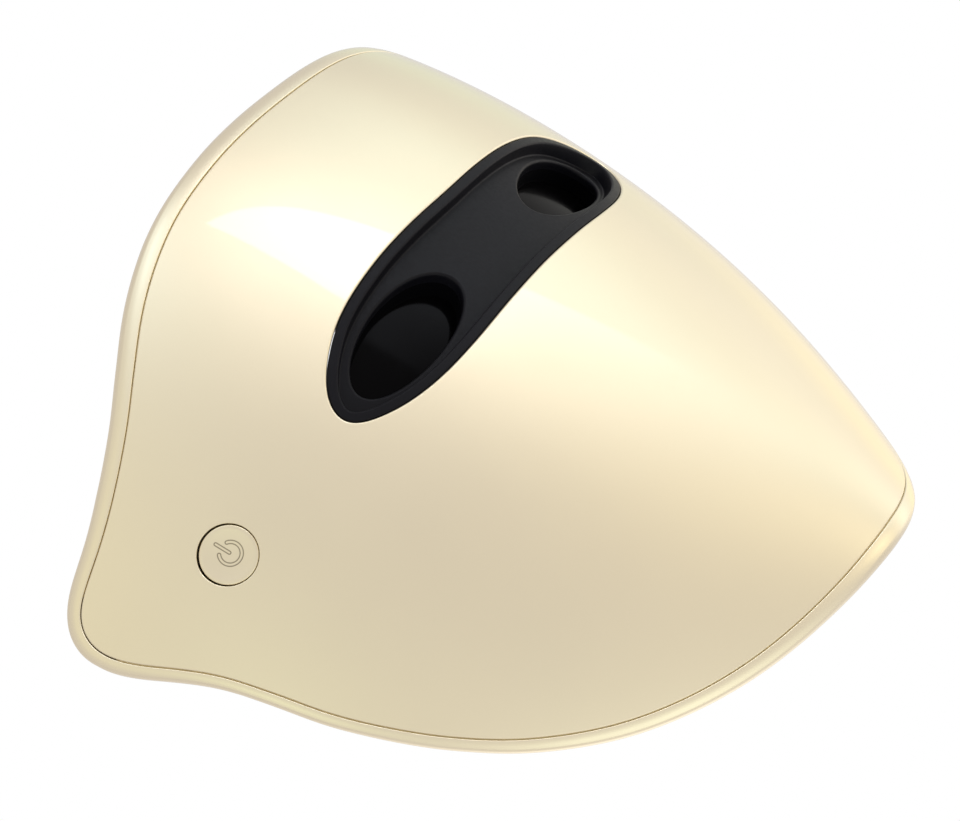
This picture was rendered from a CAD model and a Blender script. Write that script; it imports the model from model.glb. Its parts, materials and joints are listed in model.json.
import json
import math

import bpy
import numpy as np
from mathutils import Matrix, Vector, geometry


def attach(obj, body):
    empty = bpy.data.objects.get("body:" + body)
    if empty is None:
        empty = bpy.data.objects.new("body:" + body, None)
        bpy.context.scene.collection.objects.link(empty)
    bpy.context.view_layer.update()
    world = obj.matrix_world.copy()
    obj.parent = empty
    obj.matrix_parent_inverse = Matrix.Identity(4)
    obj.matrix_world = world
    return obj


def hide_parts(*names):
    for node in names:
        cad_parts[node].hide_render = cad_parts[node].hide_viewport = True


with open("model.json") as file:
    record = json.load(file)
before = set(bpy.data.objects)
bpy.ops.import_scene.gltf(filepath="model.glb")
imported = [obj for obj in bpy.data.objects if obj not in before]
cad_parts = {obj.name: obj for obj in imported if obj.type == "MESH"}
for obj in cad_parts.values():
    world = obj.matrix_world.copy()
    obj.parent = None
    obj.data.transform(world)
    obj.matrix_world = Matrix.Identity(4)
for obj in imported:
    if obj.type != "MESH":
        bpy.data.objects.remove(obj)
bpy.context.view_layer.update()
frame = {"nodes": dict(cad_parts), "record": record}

# ---------------------------------------------------------------------------
# The mask's own geometry, in millimetres about the point between the windows.
# SHIFT moves it to the row frame, whose origin is the bottom centre of the box.
# ---------------------------------------------------------------------------
K = 0.984
SHIFT = np.array([0.0, -29.66, 52.0])
HW = 32.0 * K
CROWN = (-0.11786807, 0.02317775, 0.0235049, 0.01250795)
KEEL_M = (-0.21594301, -0.14791214, 0.12939275)
KEEL_C = (3.03234555, -0.07858794, -0.22054666)
KEEL_Q = (0.36156875, 0.08457984, 0.00980194)
WIN_RX, WIN_RZ, WIN_Z = 15.85, 7.06, -1.2
BUTTON_AT = (76.5, -4.2)

HALF = [(0, -47.9), (12.4, -47.8), (25.2, -47.4), (37.8, -46.2), (46.1, -44.0),
        (53.9, -40.7), (62.0, -35.8), (69.4, -31.0), (77.9, -26.4), (83.5, -24.0),
        (87.6, -22.7), (90.3, -21.6), (92.1, -19.6), (93.2, -16.9), (93.6, -13.7),
        (93.3, -10.4), (92.5, -6.8), (91.2, -2.6), (88.8, 5.2), (86.7, 14.0),
        (84.0, 24.4), (80.2, 34.0), (75.4, 43.2), (68.5, 53.2), (58.6, 63.6),
        (49.0, 70.9), (38.4, 76.8), (28.0, 80.8), (16.0, 83.7), (6.1, 84.9), (0, 85.1)]
STRIP_HALF = [(0, -13.1), (14, -13.2), (26, -12.9), (35.6, -12.0), (40.6, -10.9),
              (44.8, -9.2), (48.2, -7.2), (50.8, -4.9), (52.3, -2.2), (52.4, 0.1),
              (51.0, 2.3), (48.4, 4.3), (44.6, 6.3), (40.0, 7.8), (34.5, 8.8),
              (26, 9.3), (13, 9.1), (0, 8.9)]


def face_y(x, z):
    s = -z / (50.0 * K)
    xx = x / K
    y0 = 50 * (CROWN[0] * s + CROWN[1] * s**2 + CROWN[2] * s**3 + CROWN[3] * s**4)
    m = KEEL_M[0] + KEEL_M[1] * s + KEEL_M[2] * s**2
    c = np.exp(KEEL_C[0] + KEEL_C[1] * s + KEEL_C[2] * s**2)
    q = (KEEL_Q[0] + KEEL_Q[1] * s + KEEL_Q[2] * s**2) / 50.0
    return K * (y0 + m * (np.sqrt(xx * xx + c * c) - c) + q * xx * xx)


def slopes(x, z, e=0.02):
    return ((face_y(x + e, z) - face_y(x - e, z)) / (2 * e),
            (face_y(x, z + e) - face_y(x, z - e)) / (2 * e))


def inward(p):
    fx, fz = slopes(p[:, 0], p[:, 1])
    w = np.sqrt(1 + fx * fx + fz * fz)
    return np.stack([-fx / w, 1 / w, -fz / w], 1)


def on_face(p, h=0.0):
    """Points of the front face at (x, z), moved h mm along the inward normal."""
    b = np.stack([p[:, 0], face_y(p[:, 0], p[:, 1]), p[:, 1]], 1)
    return b + inward(p) * (np.asarray(h, float).reshape(-1, 1) if np.ndim(h) else h)


def smooth_loop(half, n, sigma):
    """Closed, mirrored outline with n equal steps, softened over sigma mm."""
    p = np.array(list(half) + [(-x, z) for x, z in reversed(half[1:-1])], float)
    m, out = len(p), []
    for i in range(m):
        a, b, c, d = p[i - 1], p[i], p[(i + 1) % m], p[(i + 2) % m]
        t1 = math.sqrt(np.hypot(*(b - a)))
        t2 = t1 + math.sqrt(np.hypot(*(c - b)))
        t3 = t2 + math.sqrt(np.hypot(*(d - c)))
        for k in range(40):
            t = t1 + (t2 - t1) * k / 40
            a1 = (t1 - t) / t1 * a + t / t1 * b
            a2 = (t2 - t) / (t2 - t1) * b + (t - t1) / (t2 - t1) * c
            a3 = (t3 - t) / (t3 - t2) * c + (t - t2) / (t3 - t2) * d
            b1 = (t2 - t) / t2 * a1 + t / t2 * a2
            b2 = (t3 - t) / (t3 - t1) * a2 + (t - t1) / (t3 - t1) * a3
            out.append((t2 - t) / (t2 - t1) * b1 + (t - t1) / (t2 - t1) * b2)
    q = np.array(out)

    def resample(q, n):
        qq = np.vstack([q, q[:1]])
        s = np.concatenate([[0], np.cumsum(np.hypot(*np.diff(qq, axis=0).T))])
        t = np.linspace(0, s[-1], n, endpoint=False)
        return np.stack([np.interp(t, s, qq[:, 0]), np.interp(t, s, qq[:, 1])], 1), s[-1]

    q, length = resample(q, 4096)
    if sigma > 0:
        f = np.fft.fftfreq(4096, length / 4096)
        g = np.exp(-2 * (math.pi * f * sigma)**2)
        q = np.real(np.fft.ifft(np.fft.fft(q, axis=0) * g[:, None], axis=0))
    q, _ = resample(q, n)
    return q


def loop_normals(q):
    t = np.roll(q, -1, 0) - np.roll(q, 1, 0)
    t /= np.hypot(*t.T)[:, None]
    area = (q[:, 0] * np.roll(q[:, 1], -1) - np.roll(q[:, 0], -1) * q[:, 1]).sum()
    n = np.stack([t[:, 1], -t[:, 0]], 1)
    return n if area > 0 else -n


def inside(q, loop):
    out = np.zeros(len(q), bool)
    a, b = loop, np.roll(loop, -1, 0)
    for i in range(0, len(q), 2000):
        x, z = q[i:i + 2000, 0][:, None], q[i:i + 2000, 1][:, None]
        hit = ((a[:, 1] > z) != (b[:, 1] > z)) & (
            x < (b[:, 0] - a[:, 0]) * (z - a[:, 1]) / (b[:, 1] - a[:, 1] + 1e-15) + a[:, 0])
        out[i:i + 2000] = hit.sum(1) % 2 == 1
    return out


def near(q, loop):
    out = np.empty(len(q))
    for i in range(0, len(q), 1000):
        d = q[i:i + 1000, None, :] - loop[None]
        out[i:i + 1000] = np.sqrt((d**2).sum(2).min(1))
    return out


class Builder:
    """Collects vertices (mm), normals and faces for one closed piece."""

    def __init__(self):
        self.v, self.n, self.f = [], [], []

    def add(self, pts, nrm):
        k = sum(len(a) for a in self.v)
        self.v.append(np.asarray(pts, float))
        self.n.append(np.asarray(nrm, float))
        return np.arange(k, k + len(pts))

    def strip(self, a, b, flip=False):
        """Quads between two closed rings of equal length."""
        a2, b2 = np.roll(a, -1), np.roll(b, -1)
        q = np.stack([a, a2, b2, b], 1)
        self.f += (q[:, ::-1] if flip else q).tolist()

    def make(self, name, mat, body, outward=True):
        v = np.vstack(self.v)
        n = np.vstack(self.n)
        n /= np.linalg.norm(n, axis=1)[:, None] + 1e-12
        me = bpy.data.meshes.new(name)
        me.from_pydata(((v + SHIFT) * 0.001).tolist(), [], self.f)
        me.update()
        # turn each face to agree with its vertices' normals
        flip = []
        for p in me.polygons:
            s = n[list(p.vertices)].sum(0)
            if s[0] * p.normal.x + s[1] * p.normal.y + s[2] * p.normal.z < 0:
                flip.append(p.index)
        if flip:
            faces = [list(p.vertices) for p in me.polygons]
            for i in flip:
                faces[i].reverse()
            me.clear_geometry()
            me.from_pydata(((v + SHIFT) * 0.001).tolist(), [], faces)
            me.update()
        me.polygons.foreach_set("use_smooth", [True] * len(me.polygons))
        me.normals_split_custom_set_from_vertices([tuple(a) for a in n])
        o = bpy.data.objects.new(name, me)
        bpy.context.scene.collection.objects.link(o)
        o.data.materials.append(mat)
        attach(o, body)
        return o


def ring_rows(b, loop, rows, true_mm=True):
    """Rings round a loop. rows: (d outward, h inward, angle of the normal from the face's normal).
    angle 0: faces out of the mask, 90: faces along +outward, -90: along -outward, 180: into the mask."""
    nn = loop_normals(loop)
    fx, fz = slopes(loop[:, 0], loop[:, 1])
    sl = fx * nn[:, 0] + fz * nn[:, 1]
    k = 1 / np.sqrt(1 + sl * sl) if true_mm else np.ones(len(loop))
    out = []
    for d, h, a in rows:
        p2 = loop + nn * (d * k)[:, None]
        ni = inward(p2)
        fx, fz = slopes(p2[:, 0], p2[:, 1])
        e = np.stack([nn[:, 0], fx * nn[:, 0] + fz * nn[:, 1], nn[:, 1]], 1)
        e /= np.linalg.norm(e, axis=1)[:, None]
        ar = math.radians(a)
        out.append((p2, b.add(on_face(p2, h), -ni * math.cos(ar) + e * math.sin(ar))))
    for (_, i), (_, j) in zip(out[:-1], out[1:]):
        b.strip(i, j)
    return out


def fillet(d0, h0, r, a0, a1, n=5, sx=1):
    """Quarter rounds: centre (d0, h0), radius r, normal angle from a0 to a1."""
    out = []
    for k in range(n + 1):
        a = a0 + (a1 - a0) * k / n
        ar = math.radians(a)
        out.append((d0 + r * math.sin(ar), h0 - r * math.cos(ar), a))
    return out


def profile_rows(pts):
    """Closed cross-section (d, h) to rows with normals from its own shape."""
    p = np.array(pts, float)
    t = np.roll(p, -1, 0) - np.roll(p, 1, 0)
    n = np.stack([t[:, 1], -t[:, 0]], 1)
    area = (p[:, 0] * np.roll(p[:, 1], -1) - np.roll(p[:, 0], -1) * p[:, 1]).sum()
    if area < 0:
        n = -n
    ang = np.degrees(np.arctan2(n[:, 0], -n[:, 1]))
    return [(d, h, a) for (d, h), a in zip(p, ang)]


def sheet_fill(b, bounds2, ids, heights, step, outer, holes, two_sided=None):
    """Fills the region between rings with a fine mesh on the front face.
    bounds2: list of 2-D rings, ids: their vertex indices, two_sided: ids of the back rings and its depth."""
    lo, hi = outer.min(0), outer.max(0)
    xs = np.arange(lo[0], hi[0], step)
    zs = np.arange(lo[1], hi[1], step * 0.866)
    g = []
    for j, z in enumerate(zs):
        g.append(np.stack([xs + (step / 2 if j % 2 else 0), np.full(len(xs), z)], 1))
    g = np.vstack(g)
    ok = inside(g, outer)
    for hl in holes:
        ok &= ~inside(g, hl)
    g = g[ok]
    for r in bounds2:
        g = g[near(g, r) > step * 0.62]
    ring = np.vstack(bounds2)
    pts = np.vstack([ring, g])
    edges, k = [], 0
    for r in bounds2:
        m = len(r)
        edges += [(k + i, k + (i + 1) % m) for i in range(m)]
        k += m
    vo, _, fo, ov, _, _ = geometry.delaunay_2d_cdt([Vector(p) for p in pts], edges, [], 0, 1e-6)
    assert len(vo) == len(pts), (len(vo), len(pts), min(near(bounds2[0], r).min() for r in bounds2[1:]))
    back_of = np.empty(len(vo), int)
    for i, src in enumerate(ov):
        back_of[i] = src[0]
    tri = back_of[np.array([list(f) for f in fo if len(f) == 3])]
    c = pts[tri].mean(1)
    ok = inside(c, outer)
    for hl in holes:
        ok &= ~inside(c, hl)
    tri = tri[ok]
    front_ids = b.add(on_face(g, heights), -inward(g))
    idx = np.concatenate(list(ids) + [front_ids])
    b.f += idx[tri].tolist()
    if two_sided:
        back_ring_ids, depth = two_sided
        back_ids = b.add(on_face(g, depth), inward(g))
        idx = np.concatenate(list(back_ring_ids) + [back_ids])
        b.f += idx[tri[:, ::-1]].tolist()
    return len(g)


def button_frame():
    x, z = BUTTON_AT
    p = np.array([[x, z]], float)
    n = inward(p)[0]
    up = np.array([0, 0, 1.0])
    a = up - n * (up @ n)
    a /= np.linalg.norm(a)
    c = np.cross(n, a)
    return on_face(p)[0], n, a, c


BP, BN, BA, BC = button_frame()


def circle2(r, n=160):
    t = np.linspace(0, 2 * math.pi, n, endpoint=False)
    p = BP + r * (np.cos(t)[:, None] * BA + np.sin(t)[:, None] * BC)
    return p[:, [0, 2]]


# ---------------------------------------------------------------------------
# Materials
# ---------------------------------------------------------------------------
def mat(name):
    m = bpy.data.materials.new(name)
    m.use_nodes = True
    nt = m.node_tree
    b = nt.nodes["Principled BSDF"]
    return m, nt, b


def link(nt, a, b):
    nt.links.new(a, b)


def noise(nt, scale, detail=3.0, rough=0.5, coord="Object", dist=0.0):
    tc = nt.nodes.new("ShaderNodeTexCoord")
    n = nt.nodes.new("ShaderNodeTexNoise")
    n.inputs["Scale"].default_value = scale
    n.inputs["Detail"].default_value = detail
    n.inputs["Roughness"].default_value = rough
    n.inputs["Distortion"].default_value = dist
    link(nt, tc.outputs[coord], n.inputs["Vector"])
    return n


def ramp(nt, src, stops):
    r = nt.nodes.new("ShaderNodeValToRGB")
    e = r.color_ramp.elements
    while len(e) < len(stops):
        e.new(0.5)
    for el, (p, c) in zip(e, stops):
        el.position = p
        el.color = tuple(c) + (1,) if len(c) == 3 else c
    link(nt, src, r.inputs["Fac"])
    return r


def maprange(nt, src, a, b, c, d):
    m = nt.nodes.new("ShaderNodeMapRange")
    for i, v in zip(("From Min", "From Max", "To Min", "To Max"), (a, b, c, d)):
        m.inputs[i].default_value = v
    link(nt, src, m.inputs["Value"])
    return m


def bump(nt, bsdf, src, strength, dist, prev=None):
    bp = nt.nodes.new("ShaderNodeBump")
    bp.inputs["Strength"].default_value = strength
    bp.inputs["Distance"].default_value = dist
    link(nt, src, bp.inputs["Height"])
    if prev is not None:
        link(nt, prev.outputs["Normal"], bp.inputs["Normal"])
    link(nt, bp.outputs["Normal"], bsdf.inputs["Normal"])
    return bp


def gold(name, rough=0.42, coat=1.0, col=(0.86, 0.765, 0.545)):
    """Champagne metallic lacquer under clear gloss: fine flake, faint orange peel, slight handling haze."""
    m, nt, b = mat(name)
    b.inputs["Metallic"].default_value = 1.0
    c = np.array(col)
    n1 = noise(nt, 30, 5, 0.55)
    r = ramp(nt, n1.outputs["Fac"], [(0.25, tuple(c * 0.985)), (0.5, tuple(c)), (0.75, tuple(np.minimum(c * 1.012, 1)))])
    n4 = noise(nt, 9000, 2)
    mx = nt.nodes.new("ShaderNodeMix")
    mx.data_type = "RGBA"
    mx.blend_type = "MULTIPLY"
    mx.inputs["Factor"].default_value = 1.0
    fl = ramp(nt, n4.outputs["Fac"], [(0.3, (0.975, 0.975, 0.975)), (0.7, (1.0, 1.0, 1.0))])
    link(nt, r.outputs["Color"], mx.inputs[6])
    link(nt, fl.outputs["Color"], mx.inputs[7])
    link(nt, mx.outputs[2], b.inputs["Base Color"])
    n2 = noise(nt, 45, 6, 0.6)
    mr = maprange(nt, n2.outputs["Fac"], 0.3, 0.75, rough - 0.02, rough + 0.02)
    link(nt, mr.outputs["Result"], b.inputs["Roughness"])
    b.inputs["Coat Weight"].default_value = coat
    n5 = noise(nt, 70, 5, 0.6)
    mr2 = maprange(nt, n5.outputs["Fac"], 0.35, 0.8, 0.01, 0.035)
    link(nt, mr2.outputs["Result"], b.inputs["Coat Roughness"])
    b.inputs["Coat IOR"].default_value = 1.62
    n3 = noise(nt, 260, 2)
    bp = bump(nt, b, n3.outputs["Fac"], 0.006, 0.0003)
    link(nt, bp.outputs["Normal"], b.inputs["Coat Normal"])
    return m


def satin_black(name, base=0.0042, rough=0.42):
    m, nt, b = mat(name)
    n1 = noise(nt, 40, 3)
    r = ramp(nt, n1.outputs["Fac"], [(0.3, (base, base, base * 1.4)), (0.75, (base * 1.4, base * 1.4, base * 2.1))])
    link(nt, r.outputs["Color"], b.inputs["Base Color"])
    n2 = noise(nt, 1400, 2)
    mr = maprange(nt, n2.outputs["Fac"], 0.3, 0.7, rough - 0.03, rough + 0.05)
    link(nt, mr.outputs["Result"], b.inputs["Roughness"])
    bump(nt, b, n2.outputs["Fac"], 0.06, 0.0002)
    b.inputs["Specular IOR Level"].default_value = 0.13
    return m


def plastic(name, col, rough=0.5, grain=900.0, depth=0.00025, strength=0.25, metallic=0.0, var=0.12, spec=0.5, coat=0.0, trans=0.0, sheen=0.0, wear=0.25):
    """Moulded or drawn part: two scales of colour variation, worn lighter edges, fine surface grain."""
    m, nt, b = mat(name)
    c = np.array(col)
    n1 = noise(nt, 55, 5, 0.6)
    r = ramp(nt, n1.outputs["Fac"], [(0.25, tuple(c * (1 - var))), (0.55, tuple(c)), (0.8, tuple(np.minimum(c * (1 + var), 1)))])
    g = nt.nodes.new("ShaderNodeNewGeometry")
    wr = maprange(nt, g.outputs["Pointiness"], 0.52, 0.60, 0.0, wear)
    n2 = noise(nt, 400, 3)
    mu = nt.nodes.new("ShaderNodeMath")
    mu.operation = "MULTIPLY"
    link(nt, wr.outputs["Result"], mu.inputs[0])
    link(nt, n2.outputs["Fac"], mu.inputs[1])
    mx = nt.nodes.new("ShaderNodeMix")
    mx.data_type = "RGBA"
    link(nt, mu.outputs["Value"], mx.inputs["Factor"])
    link(nt, r.outputs["Color"], mx.inputs[6])
    mx.inputs[7].default_value = tuple(np.minimum(c * 1.6 + 0.04, 1)) + (1,)
    link(nt, mx.outputs[2], b.inputs["Base Color"])
    n3 = noise(nt, 120, 6, 0.65)
    mr = maprange(nt, n3.outputs["Fac"], 0.3, 0.75, max(rough - 0.08, 0.03), min(rough + 0.08, 1))
    link(nt, mr.outputs["Result"], b.inputs["Roughness"])
    n4 = noise(nt, grain, 2)
    bump(nt, b, n4.outputs["Fac"], strength, depth)
    b.inputs["Metallic"].default_value = metallic
    b.inputs["Specular IOR Level"].default_value = spec
    b.inputs["Coat Weight"].default_value = coat
    b.inputs["Transmission Weight"].default_value = trans
    b.inputs["Sheen Weight"].default_value = sheen
    return m


def leather(name, col):
    """Soft synthetic leather: pebble grain from two cell sizes, creases between the pebbles, satin sheen."""
    m, nt, b = mat(name)
    c = np.array(col)
    tc = nt.nodes.new("ShaderNodeTexCoord")
    vor = nt.nodes.new("ShaderNodeTexVoronoi")
    vor.feature = "DISTANCE_TO_EDGE"
    vor.inputs["Scale"].default_value = 750
    link(nt, tc.outputs["Object"], vor.inputs["Vector"])
    v2 = nt.nodes.new("ShaderNodeTexVoronoi")
    v2.inputs["Scale"].default_value = 1500
    link(nt, tc.outputs["Object"], v2.inputs["Vector"])
    pore = maprange(nt, vor.outputs["Distance"], 0.0, 0.16, 0.0, 1.0)
    n1 = noise(nt, 28, 5, 0.6)
    r = ramp(nt, n1.outputs["Fac"], [(0.25, tuple(c * 0.82)), (0.55, tuple(c)), (0.8, tuple(c * 1.2))])
    mx = nt.nodes.new("ShaderNodeMix")
    mx.data_type = "RGBA"
    mx.blend_type = "MULTIPLY"
    mx.inputs["Factor"].default_value = 1.0
    pr = ramp(nt, pore.outputs["Result"], [(0.0, (0.62, 0.60, 0.58)), (0.7, (1, 1, 1))])
    link(nt, r.outputs["Color"], mx.inputs[6])
    link(nt, pr.outputs["Color"], mx.inputs[7])
    link(nt, mx.outputs[2], b.inputs["Base Color"])
    mr = maprange(nt, pore.outputs["Result"], 0.0, 1.0, 0.72, 0.48)
    link(nt, mr.outputs["Result"], b.inputs["Roughness"])
    b1 = bump(nt, b, pore.outputs["Result"], 0.55, 0.0003)
    b2 = bump(nt, b, v2.outputs["Distance"], 0.25, 0.0002, b1)
    n3 = noise(nt, 45, 4, 0.6, dist=0.6)
    bump(nt, b, n3.outputs["Fac"], 0.35, 0.0012, b2)
    b.inputs["Sheen Weight"].default_value = 0.25
    b.inputs["Sheen Roughness"].default_value = 0.4
    b.inputs["Specular IOR Level"].default_value = 0.4
    return m


def woven(name, col, pitch=0.0011):
    """Woven elastic: crosswise ribs split by lengthwise threads, with a little fuzz."""
    m, nt, b = mat(name)
    c = np.array(col)
    tc = nt.nodes.new("ShaderNodeTexCoord")
    out = []
    for ax, p, ph in (("X", pitch, 0.0), ("Z", pitch * 0.62, 1.2)):
        sep = nt.nodes.new("ShaderNodeSeparateXYZ")
        link(nt, tc.outputs["Object"], sep.inputs["Vector"])
        mu = nt.nodes.new("ShaderNodeMath")
        mu.operation = "MULTIPLY_ADD"
        mu.inputs[1].default_value = 2 * math.pi / p
        mu.inputs[2].default_value = ph
        link(nt, sep.outputs[ax], mu.inputs[0])
        si = nt.nodes.new("ShaderNodeMath")
        si.operation = "SINE"
        link(nt, mu.outputs["Value"], si.inputs[0])
        out.append(si)
    mu = nt.nodes.new("ShaderNodeMath")
    mu.operation = "MULTIPLY"
    link(nt, out[0].outputs["Value"], mu.inputs[0])
    link(nt, out[1].outputs["Value"], mu.inputs[1])
    h = maprange(nt, mu.outputs["Value"], -1, 1, 0, 1)
    r = ramp(nt, h.outputs["Result"], [(0.0, tuple(c * 0.6)), (0.5, tuple(c)), (1.0, tuple(np.minimum(c * 1.2, 1)))])
    n1 = noise(nt, 60, 5, 0.6)
    r2 = ramp(nt, n1.outputs["Fac"], [(0.3, (0.86, 0.86, 0.86)), (0.7, (1.0, 1.0, 1.0))])
    mx = nt.nodes.new("ShaderNodeMix")
    mx.data_type = "RGBA"
    mx.blend_type = "MULTIPLY"
    mx.inputs["Factor"].default_value = 1.0
    link(nt, r.outputs["Color"], mx.inputs[6])
    link(nt, r2.outputs["Color"], mx.inputs[7])
    link(nt, mx.outputs[2], b.inputs["Base Color"])
    b.inputs["Roughness"].default_value = 0.85
    b.inputs["Sheen Weight"].default_value = 0.5
    b1 = bump(nt, b, h.outputs["Result"], 0.8, 0.0004)
    n2 = noise(nt, 3000, 2)
    bump(nt, b, n2.outputs["Fac"], 0.25, 0.0002, b1)
    return m


def glassy(name, col, rough=0.06):
    """Smoked window with an anti-reflection finish: nearly black, faint haze and wipe marks."""
    m, nt, b = mat(name)
    n1 = noise(nt, 90, 5, 0.6)
    c = np.array(col)
    r = ramp(nt, n1.outputs["Fac"], [(0.3, tuple(c * 0.7)), (0.7, tuple(c))])
    link(nt, r.outputs["Color"], b.inputs["Base Color"])
    mr = maprange(nt, n1.outputs["Fac"], 0.35, 0.75, rough * 0.6, rough * 1.6)
    link(nt, mr.outputs["Result"], b.inputs["Roughness"])
    b.inputs["Specular IOR Level"].default_value = 0.035
    n2 = noise(nt, 60, 2)
    bump(nt, b, n2.outputs["Fac"], 0.004, 0.0002)
    return m


def board(name):
    """Printed circuit board: solder mask with tracks and pads under it."""
    m, nt, b = mat(name)
    tc = nt.nodes.new("ShaderNodeTexCoord")
    br = nt.nodes.new("ShaderNodeTexBrick")
    br.inputs["Scale"].default_value = 260
    br.inputs["Mortar Size"].default_value = 0.08
    br.inputs["Color1"].default_value = (0.010, 0.090, 0.035, 1)
    br.inputs["Color2"].default_value = (0.014, 0.120, 0.048, 1)
    br.inputs["Mortar"].default_value = (0.030, 0.200, 0.080, 1)
    link(nt, tc.outputs["Object"], br.inputs["Vector"])
    link(nt, br.outputs["Color"], b.inputs["Base Color"])
    n1 = noise(nt, 300, 4)
    mr = maprange(nt, n1.outputs["Fac"], 0.3, 0.7, 0.22, 0.42)
    link(nt, mr.outputs["Result"], b.inputs["Roughness"])
    bump(nt, b, br.outputs["Fac"], 0.25, 0.0001)
    return m


M_SHELL = gold("gold_shell")
M_RIM = gold("gold_rim", rough=0.36)
M_BUTTON = gold("gold_button", rough=0.38)
M_BLACK = satin_black("satin_black")
M_TUBE = satin_black("tube_black", base=0.0015, rough=0.7)
M_TUBE.node_tree.nodes["Principled BSDF"].inputs["Specular IOR Level"].default_value = 0.04
M_INNER = plastic("shell_inside", (0.02, 0.019, 0.018), rough=0.7, grain=1500, strength=0.3, spec=0.2, wear=0.05)

# ---------------------------------------------------------------------------
# Front shell
# ---------------------------------------------------------------------------
OUT = smooth_loop(HALF, 900, 1.6)
STRIP = smooth_loop(STRIP_HALF, 420, 1.2)
GAP_OUT = 0.10

b = Builder()
T = 2.0
rows = [(-0.95 - GAP_OUT, 0, 0)] + fillet(-0.28 - GAP_OUT, 0.28, 0.28, 0, 90, 6) + \
    fillet(-0.3 - GAP_OUT, T - 0.3, 0.3, 90, 180, 3) + [(-0.95 - GAP_OUT, T, 180)]
ro = ring_rows(b, OUT, rows)
rows = [(1.1, 0, 0)] + [(0.48 - 0.40 * math.sin(math.radians(a)), 0.40 - 0.40 * math.cos(math.radians(a)), -a) for a in range(0, 91, 15)] + \
    [(0.08, 1.05, -90), (0.08, T - 0.3, -90), (0.17, T - 0.09, -135), (0.38, T, -180), (1.1, T, -180)]
rs = ring_rows(b, STRIP, rows)
BUT_HOLE = 5.30
cb = circle2(BUT_HOLE)
rows = [(0.9, 0, 0)] + [(0.22 - 0.22 * math.sin(math.radians(a)), 0.22 - 0.22 * math.cos(math.radians(a)), -a) for a in range(0, 91, 15)] + \
    [(0.0, T - 0.2, -90), (0.06, T - 0.06, -135), (0.2, T, -180), (0.9, T, -180)]
rb = ring_rows(b, cb, rows)
n_in = sheet_fill(b, [ro[0][0], rs[0][0], rb[0][0]], [ro[0][1], rs[0][1], rb[0][1]], 0.0, 1.5,
                  ro[0][0], [rs[0][0], rb[0][0]],
                  two_sided=([ro[-1][1], rs[-1][1], rb[-1][1]], T))
shell = b.make("front_shell_skin", M_SHELL, "housing")
shell.data.materials.append(M_INNER)
_v = np.array([tuple(v.co) for v in shell.data.vertices]) * 1000 - SHIFT
for p in shell.data.polygons:
    c_ = _v[list(p.vertices)].mean(0)
    if c_[1] - face_y(c_[0], c_[2]) > 1.55 and p.normal.y > 0.2:
        p.material_index = 1
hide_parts("front_shell")

# ---------------------------------------------------------------------------
# Rim: a rounded bead outside the parting line
# ---------------------------------------------------------------------------
W = 4.5


def bead():
    pts = [(-0.6, 4.4), (-0.6, 2.5), (-0.6, 0.62), (-0.5, 0.56), (-0.2, 0.55), (0.04, 0.52), (0.05, 0.42), (0.05, 0.30)]
    for a in (15, 30, 45, 60, 75, 90):
        pts.append((0.05 + 0.24 * (1 - math.cos(math.radians(a))), 0.27 - 0.24 * math.sin(math.radians(a))))
    pts += [(0.7, 0.02), (1.2, 0.02), (1.9, 0.07), (2.4, 0.18)]
    cx, cy, rx, ry = 2.35, 2.55, W - 2.35, 2.36
    for a in range(8, 176, 8):
        ar = math.radians(90 - a)
        pts.append((cx + rx * math.cos(ar), cy - ry * math.sin(ar)))
    pts += [(1.9, 4.95), (1.2, 4.9), (0.6, 4.8), (0.25, 4.65)]
    return pts


def rim_width(p):
    """The rim tapers from the nose to the temples and widens a little over the brow."""
    up = np.interp(p[:, 1], [-14, 10, 30, 47, 62, 73, 82, 85.1], [2.55, 2.1, 2.15, 2.35, 2.85, 3.3, 3.7, 3.9])
    low = np.interp(-p[:, 1], [14, 20, 27, 37, 45, 48], [2.55, 3.3, 4.0, 4.1, 4.3, 4.1])
    return np.where(p[:, 1] > -14, up, low)


b = Builder()
rw = rim_width(OUT)
rows = [(np.where(d > 0.5, 0.5 + (d - 0.5) * (rw - 0.5) / (W - 0.5), d), h, a) for d, h, a in profile_rows(bead())]
rr = ring_rows(b, OUT, rows)
b.strip(rr[-1][1], rr[0][1])
rim = b.make("rim_bead", M_RIM, "housing")
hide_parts("rim_frame")

# ---------------------------------------------------------------------------
# Black window strip with two lipped mouths and their tubes
# ---------------------------------------------------------------------------
b = Builder()
G = 0.04
rows = [(-G, 4.6, 90), (-G, 1.2, 90), (-G, 0.62, 90)] + fillet(-G - 0.3, 0.46, 0.3, 75, 0, 5) + \
    [(-G - 0.8, 0.16, 0), (-G - 1.3, 0.18, 0)] + \
    [(-G - 1.5 - 0.45 * math.sin(math.radians(a)), 0.65 - 0.45 * math.cos(math.radians(a)), -a) for a in range(0, 81, 16)] + \
    [(-2.12, 1.6, -84), (-2.17, 2.3, -84)] + \
    [(-2.5 + 0.33 * math.sin(math.radians(a)), 2.62 + 0.33 * math.cos(math.radians(a)), -a) for a in (85, 60, 35, 12)] + \
    [(-2.65, 2.95, 0)]
rf = ring_rows(b, STRIP, rows)
outer2 = rf[-1][0]
lips, lip_ids = [], []
TUBE = 19.0
tube_ends = []
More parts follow.
